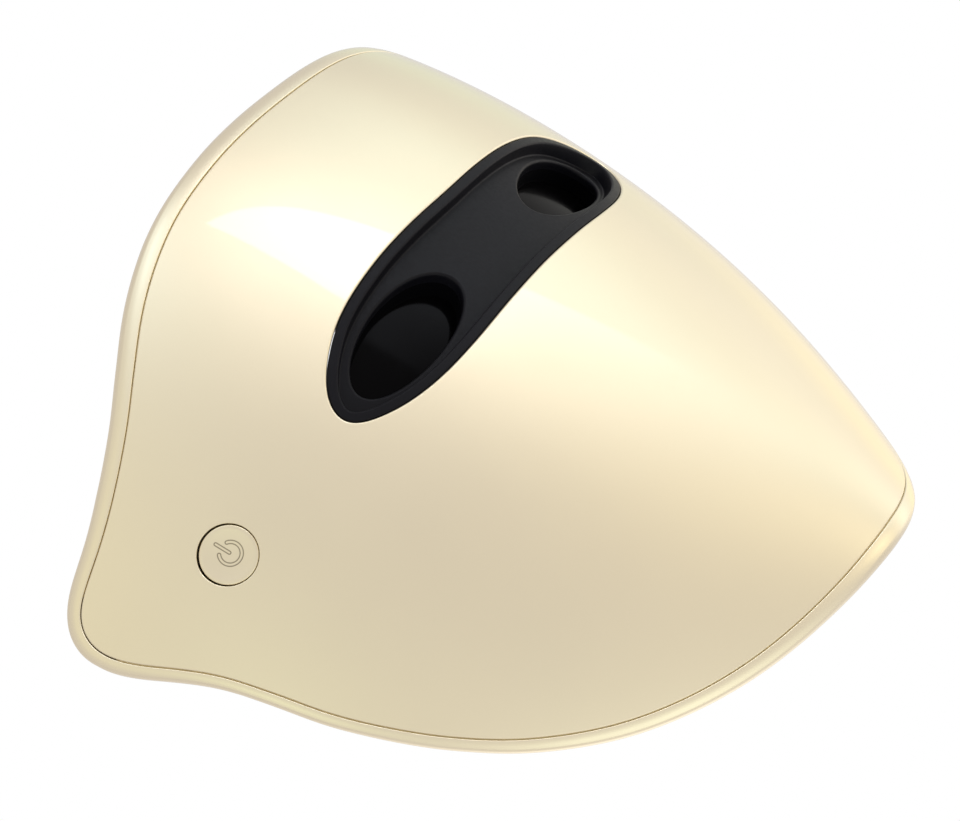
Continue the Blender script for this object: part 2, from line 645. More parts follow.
for sx in (1, -1):
    t = np.linspace(0, 2 * math.pi, 220, endpoint=False)
    el = np.stack([sx * (HW - 0.35) + (WIN_RX - 0.35) * np.cos(t), WIN_Z + (WIN_RZ - 0.25) * np.sin(t)], 1)
    L = 0.6
    rows = [(L, 2.95, 0)] + [(L - L * math.sin(math.radians(a)), 2.95 + L - L * math.cos(math.radians(a)), -a) for a in (20, 40, 60, 80)]
    rl = ring_rows(b, el, rows)
    lips.append(rl[0][0])
    lip_ids.append(rl[0][1])
    last = rl[-1][1]
    base = np.vstack(b.v)[last]
    nn = loop_normals(el)
    prev = last
    for dy in (0.6, 1.5, 2.8, 4.2):
        p = base + np.array([0, dy, 0])
        cur = b.add(p, np.stack([-nn[:, 0], 0 * t, -nn[:, 1]], 1))
        b.strip(prev, cur)
        prev = cur
    # step that the window rests on, then the tube behind it
    c = np.array([sx * HW, 0, WIN_Z])
    for k_in, dy in ((0.955, 4.35), (0.945, 4.6), (0.945, 6.5), (0.945, 9.0), (0.945, 13.0), (0.945, TUBE)):
        p = base + np.array([0, dy, 0])
        p[:, 0] = c[0] + (p[:, 0] - c[0]) * k_in
        p[:, 2] = c[2] + (p[:, 2] - c[2]) * (k_in - 0.04)
        cur = b.add(p, np.stack([-nn[:, 0], 0 * t, -nn[:, 1]], 1))
        b.strip(prev, cur)
        prev = cur
    # outside of the tube, back up to the underside of the floor
    p = np.vstack(b.v)[prev].copy()
    p[:, 0] = c[0] + (p[:, 0] - c[0]) * 1.09
    p[:, 2] = c[2] + (p[:, 2] - c[2]) * 1.25
    cur = b.add(p, np.stack([nn[:, 0], 0 * t, nn[:, 1]], 1))
    b.strip(prev, cur)
    el2 = np.stack([c[0] + (WIN_RX + 1.2) * np.cos(t), c[2] + (WIN_RZ + 1.2) * np.sin(t)], 1)
    cur2 = b.add(on_face(el2, 4.6), np.stack([nn[:, 0], 0 * t, nn[:, 1]], 1))
    b.strip(cur, cur2)
    tube_ends.append((el2, cur2))
sheet_fill(b, [outer2] + lips, [rf[-1][1]] + lip_ids, 2.95, 1.4, outer2, lips)
# underside
back_outer = ring_rows(b, STRIP, [(-G, 4.6, 180)])
b.strip(rf[0][1], back_outer[0][1])
back_lips, back_ids = [e for e, _ in tube_ends], [i for _, i in tube_ends]
sheet_fill(b, [back_outer[0][0]] + back_lips, [back_outer[0][1]] + back_ids, 4.6, 1.6, back_outer[0][0], back_lips)
bez = b.make("window_strip", M_BLACK, "housing")
bez.data.materials.append(M_TUBE)
_v = np.array([tuple(v.co) for v in bez.data.vertices]) * 1000 - SHIFT
for p in bez.data.polygons:
    c_ = _v[list(p.vertices)].mean(0)
    if c_[1] - face_y(c_[0], c_[2]) > 5.4:
        p.material_index = 1
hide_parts("window_bezel")

# ---------------------------------------------------------------------------
# Power button with its engraved outline symbol
# ---------------------------------------------------------------------------
BR = 5.12
BQ = BP + 0.11 * BA - 0.065 * BC      # the cap sits a little off centre in its hole


def seg_dist(p, a, c):
    a, c = np.array(a, float), np.array(c, float)
    d = c - a
    t = np.clip(((p - a) @ d) / (d @ d), 0, 1)
    return np.hypot(*(p - a - t[:, None] * d).T)


def icon_depth(u, v):
    """Engraved outline of the power symbol. u points to the forehead, v sideways; the gap opens towards -u."""
    u, v = u - 0.06, v + 0.30
    p = np.stack([u, v], 1)
    r = np.hypot(u, v)
    ang = np.degrees(np.arctan2(v, -u))          # 0 towards the gap
    r_o, r_i, g = 2.20, 1.64, 39.0
    on = np.abs(ang) > g
    lines = np.where(on, np.minimum(np.abs(r - r_o), np.abs(r - r_i)), 9)
    r_m, r_w = (r_o + r_i) / 2, (r_o - r_i) / 2
    for s in (1, -1):
        a = math.radians(g)
        end = np.abs(np.hypot(u + r_m * math.cos(a), v - s * r_m * math.sin(a)) - r_w)
        lines = np.minimum(lines, np.where(on, 9, end))
    w = 0.26
    for s in (1, -1):
        lines = np.minimum(lines, seg_dist(p, (-2.95, s * w), (-0.20, s * w)))
    for uu, sg in ((-2.95, -1), (-0.20, 1)):
        rr_ = np.hypot(u - uu, v)
        cap = np.where((u - uu) * sg >= 0, np.abs(rr_ - w), 9)
        lines = np.minimum(lines, cap)
    t = np.clip((lines - 0.05) / 0.08, 0, 1)
    return 0.16 * (1 - t * t * (3 - 2 * t))


def button_mesh():
    b = Builder()
    rad = list(np.linspace(0.0, 3.4, 62)[1:]) + [3.65, 3.9, 4.15, 4.35, 4.5]
    n = 300
    t = np.linspace(0, 2 * math.pi, n, endpoint=False)
    dirs = np.cos(t)[:, None] * BA + np.sin(t)[:, None] * BC

    def ring(r, h, a):
        p = BQ + r * dirs
        p2 = p[:, [0, 2]]
        s = on_face(p2)
        ni = inward(p2)
        ar = math.radians(a)
        return s + ni * np.asarray(h).reshape(-1, 1), -ni * math.cos(ar) + dirs * math.sin(ar)

    c2 = np.array([[BQ[0], BQ[2]]])
    prev = None
    p, nr = on_face(c2, 0.38 + icon_depth(np.array([0.0]), np.array([0.0]))), -inward(c2)
    centre = b.add(p, nr)[0]
    grid = []
    for r in rad:
        h = 0.12 + 0.26 * max(1 - (r / 4.6)**2, 0) + icon_depth(r * np.cos(t), r * np.sin(t))
        p, nr = ring(r, h, -math.degrees(0.52 * r / 4.6**2) if r < 4.4 else 0)
        grid.append(b.add(p, nr))
    first = grid[0]
    for i in range(n):
        b.f.append([centre, first[i], first[(i + 1) % n]])
    for i, j in zip(grid[:-1], grid[1:]):
        b.strip(i, j)
    prev = grid[-1]
    for r, h, a in [(BR - 0.3 + 0.3 * math.sin(math.radians(k)), 0.12 + 0.3 - 0.3 * math.cos(math.radians(k)), k) for k in (0, 15, 30, 45, 60, 75, 90)] + \
            [(BR, 1.2, 90), (BR, 3.0, 90), (BR - 0.1, 3.2, 135), (BR - 0.4, 3.25, 180)]:
        p, nr = ring(r, np.full(n, h), a)
        cur = b.add(p, nr)
        b.strip(prev, cur)
        prev = cur
    c = b.add(on_face(c2, 3.25), inward(c2))[0]
    for i in range(n):
        b.f.append([c, prev[i], prev[(i + 1) % n]])
    return b


b = button_mesh()
# the engraved area takes its normals from its own shape
v_all = np.vstack(b.v)
btn = b.make("power_button_cap", M_BUTTON, "button")
me = btn.data
me.update()
vn = np.array([tuple(v.normal) for v in me.vertices])
rr_ = np.linalg.norm((v_all - BQ) - ((v_all - BQ) @ BN)[:, None] * BN, axis=1)
nn_ = np.vstack(b.n)
nn_ /= np.linalg.norm(nn_, axis=1)[:, None]
use = (rr_ < 3.3) & ((v_all - BP) @ BN < 1.0)
nn_[use] = vn[use]
du = (v_all - BQ) @ BA
dv = (v_all - BQ) @ BC
gv = np.where(use, icon_depth(du, dv) / 0.16, 0.0)
att = me.attributes.new("groove", "FLOAT", "POINT")
att.data.foreach_set("value", gv)
bt = M_BUTTON.node_tree
bs_ = bt.nodes["Principled BSDF"]
at_ = bt.nodes.new("ShaderNodeAttribute")
at_.attribute_name = "groove"
mxg = bt.nodes.new("ShaderNodeMix")
mxg.data_type = "RGBA"
old = bs_.inputs["Base Color"].links[0].from_socket
bt.links.new(at_.outputs["Fac"], mxg.inputs["Factor"])
bt.links.new(old, mxg.inputs[6])
mxg.inputs[7].default_value = (0.28, 0.23, 0.14, 1)
bt.links.new(mxg.outputs[2], bs_.inputs["Base Color"])
me.normals_split_custom_set_from_vertices([tuple(a) for a in nn_])
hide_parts("power_button")

# ---------------------------------------------------------------------------
# Back of the mask: padded cushion (cloth), piping, stitching, headband
# ---------------------------------------------------------------------------
EYE_HALF = [(0, -18.5), (9, -19.0), (20, -23.0), (34, -25.0), (48, -20.5), (56.5, -9.0),
            (58.5, 1.0), (53, 12.5), (40, 19.0), (22, 19.0), (10, 16.0), (0, 15.0)]
EYE = smooth_loop(EYE_HALF, 400, 1.0)


def sdist(q, loop):
    """Distance to the outline, positive inside."""
    a, c = loop, np.roll(loop, -1, 0)
    out = np.empty(len(q))
    for i in range(0, len(q), 1500):
        p = q[i:i + 1500, None, :]
        d = (c - a)[None]
        t = np.clip(((p - a[None]) * d).sum(2) / (d * d).sum(2), 0, 1)
        out[i:i + 1500] = np.sqrt(((p - a[None] - t[..., None] * d)**2).sum(2).min(1))
    return np.where(inside(q, loop), out, -out)


def smooth01(t):
    t = np.clip(t, 0, 1)
    return t * t * (3 - 2 * t)


def blur(a, times):
    for _ in range(times):
        p = np.pad(a, 1, mode="edge")
        a = (p[:-2, 1:-1] + 2 * p[1:-1, 1:-1] + p[2:, 1:-1]) / 4
        p = np.pad(a, 1, mode="edge")
        a = (p[1:-1, :-2] + 2 * p[1:-1, 1:-1] + p[1:-1, 2:]) / 4
    return a


GX, GZ = np.linspace(-108, 108, 37), np.linspace(-64, 98, 28)
gx_, gz_ = np.meshgrid(GX, GZ, indexing="ij")
OUT3 = OUT[::3]
gd_ = sdist(np.stack([gx_.ravel(), gz_.ravel()], 1), OUT3).reshape(gx_.shape)
nose_ = np.exp(-(gx_ / 17.0)**2) * smooth01((-gz_ - 4.0) / 26.0)
DEPTH_GRID = blur(6.0 + 21.0 * smooth01((gd_ - 3.6) / 18.0) * (1 - 0.78 * nose_), 4)
THICK_GRID = blur(7.0 + 6.0 * smooth01((gd_ - 9) / 24), 2)


def bil(grid, x, z):
    i = np.clip((x - GX[0]) / (GX[1] - GX[0]), 0, len(GX) - 1.001)
    j = np.clip((z - GZ[0]) / (GZ[1] - GZ[0]), 0, len(GZ) - 1.001)
    a, c = i.astype(int), j.astype(int)
    fi, fj = i - a, j - c
    return grid[a, c] * (1 - fi) * (1 - fj) + grid[a + 1, c] * fi * (1 - fj) + grid[a, c + 1] * (1 - fi) * fj + grid[a + 1, c + 1] * fi * fj


def rear_y(x, z):
    """Back face of the rear housing."""
    return face_y(x, z) + bil(DEPTH_GRID, x, z)


PAD_IN, PAD_EYE = 10.9, -1.4


def pad_shape(p):
    """Front and back of the uninflated cushion over the housing's back face, in mm."""
    do = sdist(p, OUT3) - PAD_IN
    de = -sdist(p, EYE[::2]) - PAD_EYE
    d = np.maximum(np.minimum(do, de), 0)
    front = 1.9 + 3.3 * smooth01((d - 4.6) / 2.0)
    crown = np.sqrt(1 - (1 - np.clip(d / 7.0, 0, 1))**2)
    th = bil(THICK_GRID, p[:, 0], p[:, 1])
    back = 4.6 + (th - 4.4) * crown
    return d, front, back


def pad_base():
    lo_ = OUT.min(0), OUT.max(0)
    st = 2.0
    xs, zs = np.arange(lo_[0][0], lo_[1][0], st), np.arange(lo_[0][1], lo_[1][1], st)
    X, Z = np.meshgrid(xs, zs, indexing="ij")
    q = np.stack([X.ravel(), Z.ravel()], 1)
    do = sdist(q, OUT3) - PAD_IN
    de = -sdist(q, EYE[::2]) - PAD_EYE
    ok = (np.minimum(do, de) > 0.9)
    return q[ok]


def offset_ring(loop, d, n):
    """Outline moved inwards by d mm: follows the distance field, so it never folds over."""
    nn = loop_normals(loop)
    p = loop - nn * d
    for _ in range(40):
        p = p * 0.5 + (np.roll(p, 1, 0) + np.roll(p, -1, 0)) * 0.25
        s_ = sdist(p, loop[::2])
        p = p + nn * (s_ - d)[:, None] * 0.9
    seg = np.hypot(*(np.roll(p, -1, 0) - p).T)
    s_ = np.concatenate([[0], np.cumsum(seg)])
    t = np.linspace(0, s_[-1], n, endpoint=False)
    pp = np.vstack([p, p[:1]])
    return np.stack([np.interp(t, s_, pp[:, 0]), np.interp(t, s_, pp[:, 1])], 1)


PAD_OUT = offset_ring(smooth_loop(HALF, 450, 2.5), PAD_IN, 240)
PAD_HOLE = offset_ring(smooth_loop(EYE_HALF, 300, 1.5), -PAD_EYE, 150)


def make_cushion():
    ringo, ringe = PAD_OUT, PAD_HOLE
    q = pad_base()
    q = q[(near(q, ringo) > 1.3) & (near(q, ringe) > 1.3)]
    pts = np.vstack([ringo, ringe, q])
    no, ne = len(ringo), len(ringe)
    edges = [(i, (i + 1) % no) for i in range(no)] + [(no + i, no + (i + 1) % ne) for i in range(ne)]
    vo, _, fo, ov, _, _ = geometry.delaunay_2d_cdt([Vector(p) for p in pts], edges, [], 0, 1e-6)
    ids = np.array([o[0] for o in ov])
    tri = ids[np.array([list(f) for f in fo if len(f) == 3])]
    c = pts[tri].mean(1)
    tri = tri[inside(c, ringo) & ~inside(c, ringe)]
    d, fr, bk = pad_shape(pts)
    y = rear_y(pts[:, 0], pts[:, 1])
    front = np.stack([pts[:, 0], y + fr, pts[:, 1]], 1)
    back = np.stack([pts[:, 0], y + bk, pts[:, 1]], 1)
    n = len(pts)
    v = np.vstack([front, back])
    faces = tri.tolist() + (tri[:, ::-1] + n).tolist()
    for k, m in ((0, no), (no, ne)):
        for i in range(m):
            a, c2 = k + i, k + (i + 1) % m
            faces.append([a, c2, c2 + n, a + n])
    me = bpy.data.meshes.new("pad_base")
    me.from_pydata(((v + SHIFT) * 0.001).tolist(), [], faces)
    me.validate()
    o = bpy.data.objects.new("face_cushion", me)
    bpy.context.scene.collection.objects.link(o)
    import bmesh
    bm = bmesh.new()
    bm.from_mesh(me)
    bmesh.ops.recalc_face_normals(bm, faces=bm.faces)
    bm.to_mesh(me)
    bm.free()
    return o


def apply_all(o):
    dg = bpy.context.evaluated_depsgraph_get()
    ev = o.evaluated_get(dg)
    me = bpy.data.meshes.new_from_object(ev, preserve_all_data_layers=False, depsgraph=dg)
    o.modifiers.clear()
    o.data = me
    return me


def coords(me):
    a = np.empty(len(me.vertices) * 3)
    me.vertices.foreach_get("co", a)
    return a.reshape(-1, 3)


pad = make_cushion()
rm = pad.modifiers.new("r", "REMESH")
rm.mode = "VOXEL"
rm.voxel_size = 0.0021
me = apply_all(pad)
start = coords(me).copy()
cl = pad.modifiers.new("c", "CLOTH")
cs = cl.settings
cs.use_pressure = True
cs.uniform_pressure_force = 4
cs.quality = 5
cs.mass = 0.2
cs.tension_stiffness = cs.compression_stiffness = 15
cs.shear_stiffness = 8
cs.bending_stiffness = 0.6
cs.effector_weights.gravity = 0
cl.collision_settings.use_collision = False
cl.point_cache.frame_start, cl.point_cache.frame_end = 1, 20
for f in range(1, 21):
    bpy.context.scene.frame_set(f)
me = apply_all(pad)
bpy.context.scene.frame_set(1)
now = coords(me)
# limit how far a point moves, smooth lightly, keep clear of the housing
mv = now - start
ln = np.linalg.norm(mv, axis=1)
cap = 0.0045
mv *= (np.minimum(ln, cap) / np.maximum(ln, 1e-9))[:, None]
side = np.hypot(mv[:, 0], mv[:, 2])
lim = np.minimum(side, 0.0006) / np.maximum(side, 1e-9)
mv[:, 0] *= lim
mv[:, 2] *= lim
now = start + mv
me.vertices.foreach_set("co", now.ravel())
me.update()
sm = pad.modifiers.new("s", "SMOOTH")
sm.factor, sm.iterations = 0.5, 5
sb = pad.modifiers.new("b", "SUBSURF")
sb.levels = sb.render_levels = 1
me = apply_all(pad)
w = coords(me) * 1000 - SHIFT
q = w[:, [0, 2]]
y0 = rear_y(q[:, 0], q[:, 1])
off = w[:, 1] - y0
d_out = sdist(q, OUT3) - PAD_IN
d_eye = -sdist(q, EYE[::2]) - PAD_EYE
dmin = np.minimum(d_out, d_eye)
# sewn channels: one beside each edge, and a few radial ones across the cheek and brow
SEAM = 6.5
groove = 1.15 * np.exp(-((dmin - SEAM) / 1.1)**2)
isback = smooth01((off - 4.5) / 2.0)
w[:, 1] -= groove * isback
y_hi = y0 + bil(THICK_GRID, q[:, 0], q[:, 1]) + 0.6
w[:, 1] = np.minimum(w[:, 1], y_hi)
w[:, 1] = np.maximum(w[:, 1], y0 + 1.8)
me.vertices.foreach_set("co", ((w + SHIFT) * 0.001).ravel())
me.update()
me.polygons.foreach_set("use_smooth", [True] * len(me.polygons))
M_LEATHER = leather("pad_leather", (0.235, 0.172, 0.122))
M_PIPE = leather("piping_leather", (0.150, 0.108, 0.075))
pad.data.materials.clear()
pad.data.materials.append(M_LEATHER)
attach(pad, "housing")
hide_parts("face_pad")


def tube(name, path, radius, mat_, body, sides=12, nref=None):
    """Closed round cord along a 3-D loop."""
    t = np.roll(path, -1, 0) - np.roll(path, 1, 0)
    t /= np.linalg.norm(t, axis=1)[:, None]
    ref = np.tile(np.array([0, 1.0, 0]), (len(path), 1)) if nref is None else nref
    a = ref - (ref * t).sum(1)[:, None] * t
    a /= np.linalg.norm(a, axis=1)[:, None]
    c = np.cross(t, a)
    bb = Builder()
    rings = []
    for k in range(sides):
        th = 2 * math.pi * k / sides
        dr = math.cos(th) * a + math.sin(th) * c
        rings.append(bb.add(path + dr * radius, dr))
    for k in range(sides):
        bb.strip(rings[k], rings[(k + 1) % sides])
    return bb.make(name, mat_, body)


def on_pad_side(ring, h):
    return np.stack([ring[:, 0], rear_y(ring[:, 0], ring[:, 1]) + h, ring[:, 1]], 1)


from mathutils.bvhtree import BVHTree
dg = bpy.context.evaluated_depsgraph_get()
tree = BVHTree.FromObject(pad, dg)


def drop(ring):
    """Where a line from behind meets the cushion, with the surface's normal."""
    out, nr = [], []
    for x, z in ring:
        p = Vector(((x + SHIFT[0]) * 0.001, 0.2, (z + SHIFT[2]) * 0.001))
        hit, n_, _, _ = tree.ray_cast(p, Vector((0, -1, 0)))
        if hit is None:
            out.append(None)
            nr.append(None)
        else:
            out.append(np.array(hit) * 1000 - SHIFT)
            nr.append(np.array(n_))
    return out, nr


PIPE_OUT = offset_ring(smooth_loop(HALF, 450, 2.5), PAD_IN - 0.9, 360)
PIPE_EYE = offset_ring(smooth_loop(EYE_HALF, 300, 1.5), -PAD_EYE + 0.8, 240)
pipe1 = tube("pad_piping_outer", on_pad_side(PIPE_OUT, 4.0), 1.15, M_PIPE, "housing")
pipe2 = tube("pad_piping_eye", on_pad_side(PIPE_EYE, 4.4), 1.15, M_PIPE, "housing")


def stitches(name, rings, mat_, length=2.1, radius=0.24):
    """Thread stitches lying in the sewn channels."""
    bb = Builder()
    m = 8
    for ring in rings:
        pos, nrm = drop(ring)
        n = len(ring)
        for i in range(n):
            if pos[i] is None or pos[(i + 1) % n] is None:
                continue
            t = pos[(i + 1) % n] - pos[i]
            if np.linalg.norm(t) > 6:
                continue
            t /= np.linalg.norm(t)
            nv = nrm[i] - (nrm[i] @ t) * t
            nv /= np.linalg.norm(nv)
            c = np.cross(t, nv)
            prev = None
            first = None
            for u, rr_s, sink in ((-0.5, 0.15, -0.16), (-0.42, 0.8, -0.02), (-0.25, 1.0, 0.08), (0.0, 1.0, 0.12), (0.25, 1.0, 0.08), (0.42, 0.8, -0.02), (0.5, 0.15, -0.16)):
                th = np.linspace(0, 2 * math.pi, m, endpoint=False)
                dr = np.cos(th)[:, None] * nv + np.sin(th)[:, None] * c
                ids = bb.add(pos[i] + t * u * length + nv * sink + dr * radius * rr_s, dr + 0.3 * np.sign(u) * t * (abs(u) > 0.4))
                if prev is not None:
                    bb.strip(prev, ids)
                else:
                    bb.f.append(ids.tolist())
                prev = ids
            bb.f.append(prev[::-1].tolist())
    return bb.make(name, mat_, "housing")


def step_ring(base, step):
    seg = np.hypot(*(np.roll(base, -1, 0) - base).T).sum()
    n = int(round(seg / step))
    s_ = np.concatenate([[0], np.cumsum(np.hypot(*(np.roll(base, -1, 0) - base).T))])
    t = np.linspace(0, s_[-1], n, endpoint=False)
    pp = np.vstack([base, base[:1]])
    return np.stack([np.interp(t, s_, pp[:, 0]), np.interp(t, s_, pp[:, 1])], 1)


ST1 = step_ring(offset_ring(smooth_loop(HALF, 450, 2.5), PAD_IN + SEAM, 400), 3.0)
ST2 = step_ring(offset_ring(smooth_loop(EYE_HALF, 300, 1.5), -(SEAM + PAD_EYE), 300), 3.0)
M_THREAD = plastic("thread", (0.52, 0.42, 0.28), rough=0.75, grain=4000, strength=0.5, sheen=0.4)
thr = stitches("pad_stitching", [ST1, ST2], M_THREAD)

# headband: flat woven elastic, folded across the back
BAND = [(0, 61.6), (30, 61.4), (58, 60.5), (70, 59.6), (78, 58.4), (82.6, 57.1), (85.6, 54.8), (86.7, 51.4)]


def band_piece():
    half = np.array(BAND, float)
    pth = np.vstack([np.stack([-half[1:][::-1, 0], half[1:][::-1, 1]], 1), half])
    s_ = np.concatenate([[0], np.cumsum(np.hypot(*np.diff(pth, axis=0).T))])
    t = np.linspace(0, s_[-1], 260)
    # gentle smoothing of the bends
    xx, yy = np.interp(t, s_, pth[:, 0]), np.interp(t, s_, pth[:, 1])
    for _ in range(30):
        xx[1:-1] = xx[1:-1] * 0.5 + (xx[2:] + xx[:-2]) * 0.25
        yy[1:-1] = yy[1:-1] * 0.5 + (yy[2:] + yy[:-2]) * 0.25
    c = np.stack([xx, yy], 1)
    tn = np.gradient(c, axis=0)
    tn /= np.hypot(*tn.T)[:, None]
    nv = np.stack([-tn[:, 1], tn[:, 0]], 1)
    nv[nv[:, 1] < 0] *= -1
    H, T_ = 8.0, 0.8
    prof = []
    for k in range(-14, 15):
        zz = k / 14 * (H - 0.35)
        # edge cords slightly thicker, shallow lengthwise ribs between
        th = T_ * (0.82 + 0.10 * math.cos(k * math.pi / 2)) + (0.12 if abs(k) >= 13 else 0)
        prof.append((zz, th, 0.0, 1.0))
    prof.append((H, T_ * 0.35, 0.85, 0.5))
    back = [(z, -t_, nz, -ny) for z, t_, nz, ny in reversed(prof)]
    front = prof
    low = [(-H, -T_ * 0.35, -0.85, -0.5)]
    prof = front + back + low + [(-H, T_ * 0.35, -0.85, 0.5)]
    bb = Builder()
    rows_ = []
    for z, o_, nz, ny in prof:
        p = np.stack([c[:, 0] + nv[:, 0] * o_, c[:, 1] + nv[:, 1] * o_, np.full(len(c), -13.0 + z)], 1)
        nr = np.stack([nv[:, 0] * ny, nv[:, 1] * ny, np.full(len(c), nz)], 1)
        rows_.append(bb.add(p, nr))
    m = len(rows_)
    for k in range(m):
        a, d = rows_[k], rows_[(k + 1) % m]
        bb.f += np.stack([a[:-1], a[1:], d[1:], d[:-1]], 1).tolist()
    bb.f.append([r_[0] for r_ in rows_])
    bb.f.append([r_[-1] for r_ in rows_][::-1])
    return bb


M_BAND = woven("band_woven", (0.46, 0.385, 0.27))
band_o = band_piece().make("headband_strap", M_BAND, "housing")
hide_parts("headband")


def band_curve(n):
    half = np.array(BAND, float)
    pth = np.vstack([np.stack([-half[1:][::-1, 0], half[1:][::-1, 1]], 1), half])
    s_ = np.concatenate([[0], np.cumsum(np.hypot(*np.diff(pth, axis=0).T))])
    t = np.linspace(0, s_[-1], n)
    xx, yy = np.interp(t, s_, pth[:, 0]), np.interp(t, s_, pth[:, 1])
    for _ in range(30 * n // 260):
        xx[1:-1] = xx[1:-1] * 0.5 + (xx[2:] + xx[:-2]) * 0.25
        yy[1:-1] = yy[1:-1] * 0.5 + (yy[2:] + yy[:-2]) * 0.25
    return np.stack([xx, yy], 1)


def band_threads():
    """Two lengthwise lines of stitching and bar tacks where the band is doubled at its ends."""
    c = band_curve(260)
    tn = np.gradient(c, axis=0)
    tn /= np.hypot(*tn.T)[:, None]
    nv = np.stack([-tn[:, 1], tn[:, 0]], 1)
    nv[nv[:, 1] < 0] *= -1
    segs = []

    def pt(xv, z):
        i = int(np.clip(np.searchsorted(c[:, 0], xv), 1, len(c) - 1))
        f = (xv - c[i - 1, 0]) / max(c[i, 0] - c[i - 1, 0], 1e-6)
        p = c[i - 1] * (1 - f) + c[i] * f
        m_ = nv[i]
        return np.array([p[0], p[1], -13.0 + z]) + np.array([m_[0], m_[1], 0]) * 0.70, np.array([m_[0], m_[1], 0])

    for z in (-6.4, 6.4):
        for x in np.arange(-80, 80.1, 3.0):
            segs.append((pt(x - 1.0, z), pt(x + 1.0, z)))
    for x0 in (-66, -52, 52, 66):
        for k in range(14):
            z = -5.6 + k * 0.8
            segs.append((pt(x0 - 0.8, z), pt(x0 + 0.8, z + 0.4)))
            segs.append((pt(x0 + 0.8, z + 0.4), pt(x0 - 0.8, z + 0.8)))
    bb = Builder()
    for (p, n1), (q, n2) in segs:
        t = q - p
        ln_ = np.linalg.norm(t)
        t = t / ln_
        cc = np.cross(t, n1)
        cc /= np.linalg.norm(cc)
        prev = None
        for u, r_, up_ in ((0.0, 0.2, -0.12), (0.12, 0.8, 0.0), (0.5, 1.0, 0.10), (0.88, 0.8, 0.0), (1.0, 0.2, -0.12)):
            th = np.linspace(0, 2 * math.pi, 6, endpoint=False)
            dr = np.cos(th)[:, None] * n1 + np.sin(th)[:, None] * cc
            ids = bb.add(p + t * ln_ * u + n1 * up_ + dr * 0.2 * r_, dr)
            if prev is not None:
                bb.strip(prev, ids)
            else:
                bb.f.append(ids.tolist())
            prev = ids
        bb.f.append(prev[::-1].tolist())
    return bb.make("headband_stitching", M_THREAD, "housing")


thb = band_threads()

# ---------------------------------------------------------------------------
# Finishes of the CAD parts that stay
# ---------------------------------------------------------------------------
FINISH = {
    "housing_plastic": plastic("housing_moulding", (0.115, 0.100, 0.085), rough=0.55, grain=1500, strength=0.45, depth=0.0003),
    "chamber_black": plastic("chamber_moulding", (0.004, 0.004, 0.0045), rough=0.85, grain=1200, strength=0.2, spec=0.04, wear=0.01),
    "clear_window": glassy("smoked_window", (0.0016, 0.0015, 0.0018), rough=0.12),
    "switch_black": plastic("switch_moulding", (0.015, 0.015, 0.016), rough=0.45, grain=2500),
    "switch_plastic": plastic("switch_cap", (0.42, 0.06, 0.05), rough=0.4, grain=2500),
    "circuit_board": board("solder_mask"),
    "steel": plastic("machined_steel", (0.56, 0.56, 0.57), rough=0.28, grain=6000, metallic=1.0, strength=0.15, depth=0.0001),
    "battery_foil": plastic("laminated_foil", (0.62, 0.62, 0.64), rough=0.32, grain=500, metallic=0.9, strength=0.35, depth=0.0004),
    "pump_plastic": plastic("pump_moulding", (0.68, 0.68, 0.65), rough=0.45, grain=1500, coat=0.1),
    "valve_metal": plastic("plated_can", (0.50, 0.50, 0.52), rough=0.25, grain=5000, metallic=1.0, strength=0.12, depth=0.0001),
    "motor_can": plastic("drawn_can", (0.50, 0.50, 0.52), rough=0.22, grain=4000, metallic=1.0, strength=0.12, depth=0.0001),
    "weight_metal": plastic("sintered_metal", (0.34, 0.33, 0.32), rough=0.5, grain=5000, metallic=1.0, strength=0.5, depth=0.0002),
    "speaker_black": plastic("speaker_moulding", (0.02, 0.02, 0.02), rough=0.6, grain=2200, strength=0.5),
    "carrier_plastic": plastic("carrier_moulding", (0.075, 0.068, 0.060), rough=0.6, grain=1800, strength=0.35),
    "airbag_film": plastic("bladder_film", (0.60, 0.60, 0.57), rough=0.35, grain=700, strength=0.3, depth=0.0003, coat=0.3),
    "heater_amber": plastic("heater_film", (0.50, 0.22, 0.04), rough=0.3, grain=900, coat=0.4, var=0.2),
    "gold_shell": M_SHELL, "gold_rim": M_RIM, "gold_button": M_BUTTON, "black_plastic": M_BLACK,
    "pad_leather": M_LEATHER, "band_fabric": M_BAND,
}
for sp in frame["record"]["subparts"]:
    node = frame["nodes"].get(sp["node"])
    if node is None:
        continue
    m_ = FINISH[sp["material_slot"]]
    if not node.material_slots:
        node.data.materials.append(m_)
    for sl in node.material_slots:
        sl.material = m_

# ---------------------------------------------------------------------------
# Stage, camera, light
# ---------------------------------------------------------------------------
FLIP = np.diag([-1.0, 1.0, -1.0])
R = np.array([[0.45452412726981134, -0.27427795154100837, -0.8474546731407437],
              [-0.4780112636178954, 0.7276977948078005, -0.491895467844833],
              [0.7516069781368713, 0.6286712373970457, 0.19964825490253651]]) @ FLIP
TV = np.array([4.570753610019564, -32.84652776970066, 498.5874298824719]) * K
FOCAL = 2713.288680271063
cam_data = bpy.data.cameras.new("camera")
cam = bpy.data.objects.new("camera", cam_data)
bpy.context.scene.collection.objects.link(cam)
C = (-R.T @ TV + SHIFT) * 0.001
right, up, back = R[0], -R[1], -R[2]
cam.matrix_world = Matrix(((right[0], up[0], back[0], C[0]), (right[1], up[1], back[1], C[1]),
                           (right[2], up[2], back[2], C[2]), (0, 0, 0, 1)))
cam_data.sensor_fit = "HORIZONTAL"
cam_data.sensor_width = 36.0
cam_data.lens = FOCAL / 960.0 * 36.0
cam_data.clip_start, cam_data.clip_end = 0.01, 50
bpy.context.scene.camera = cam

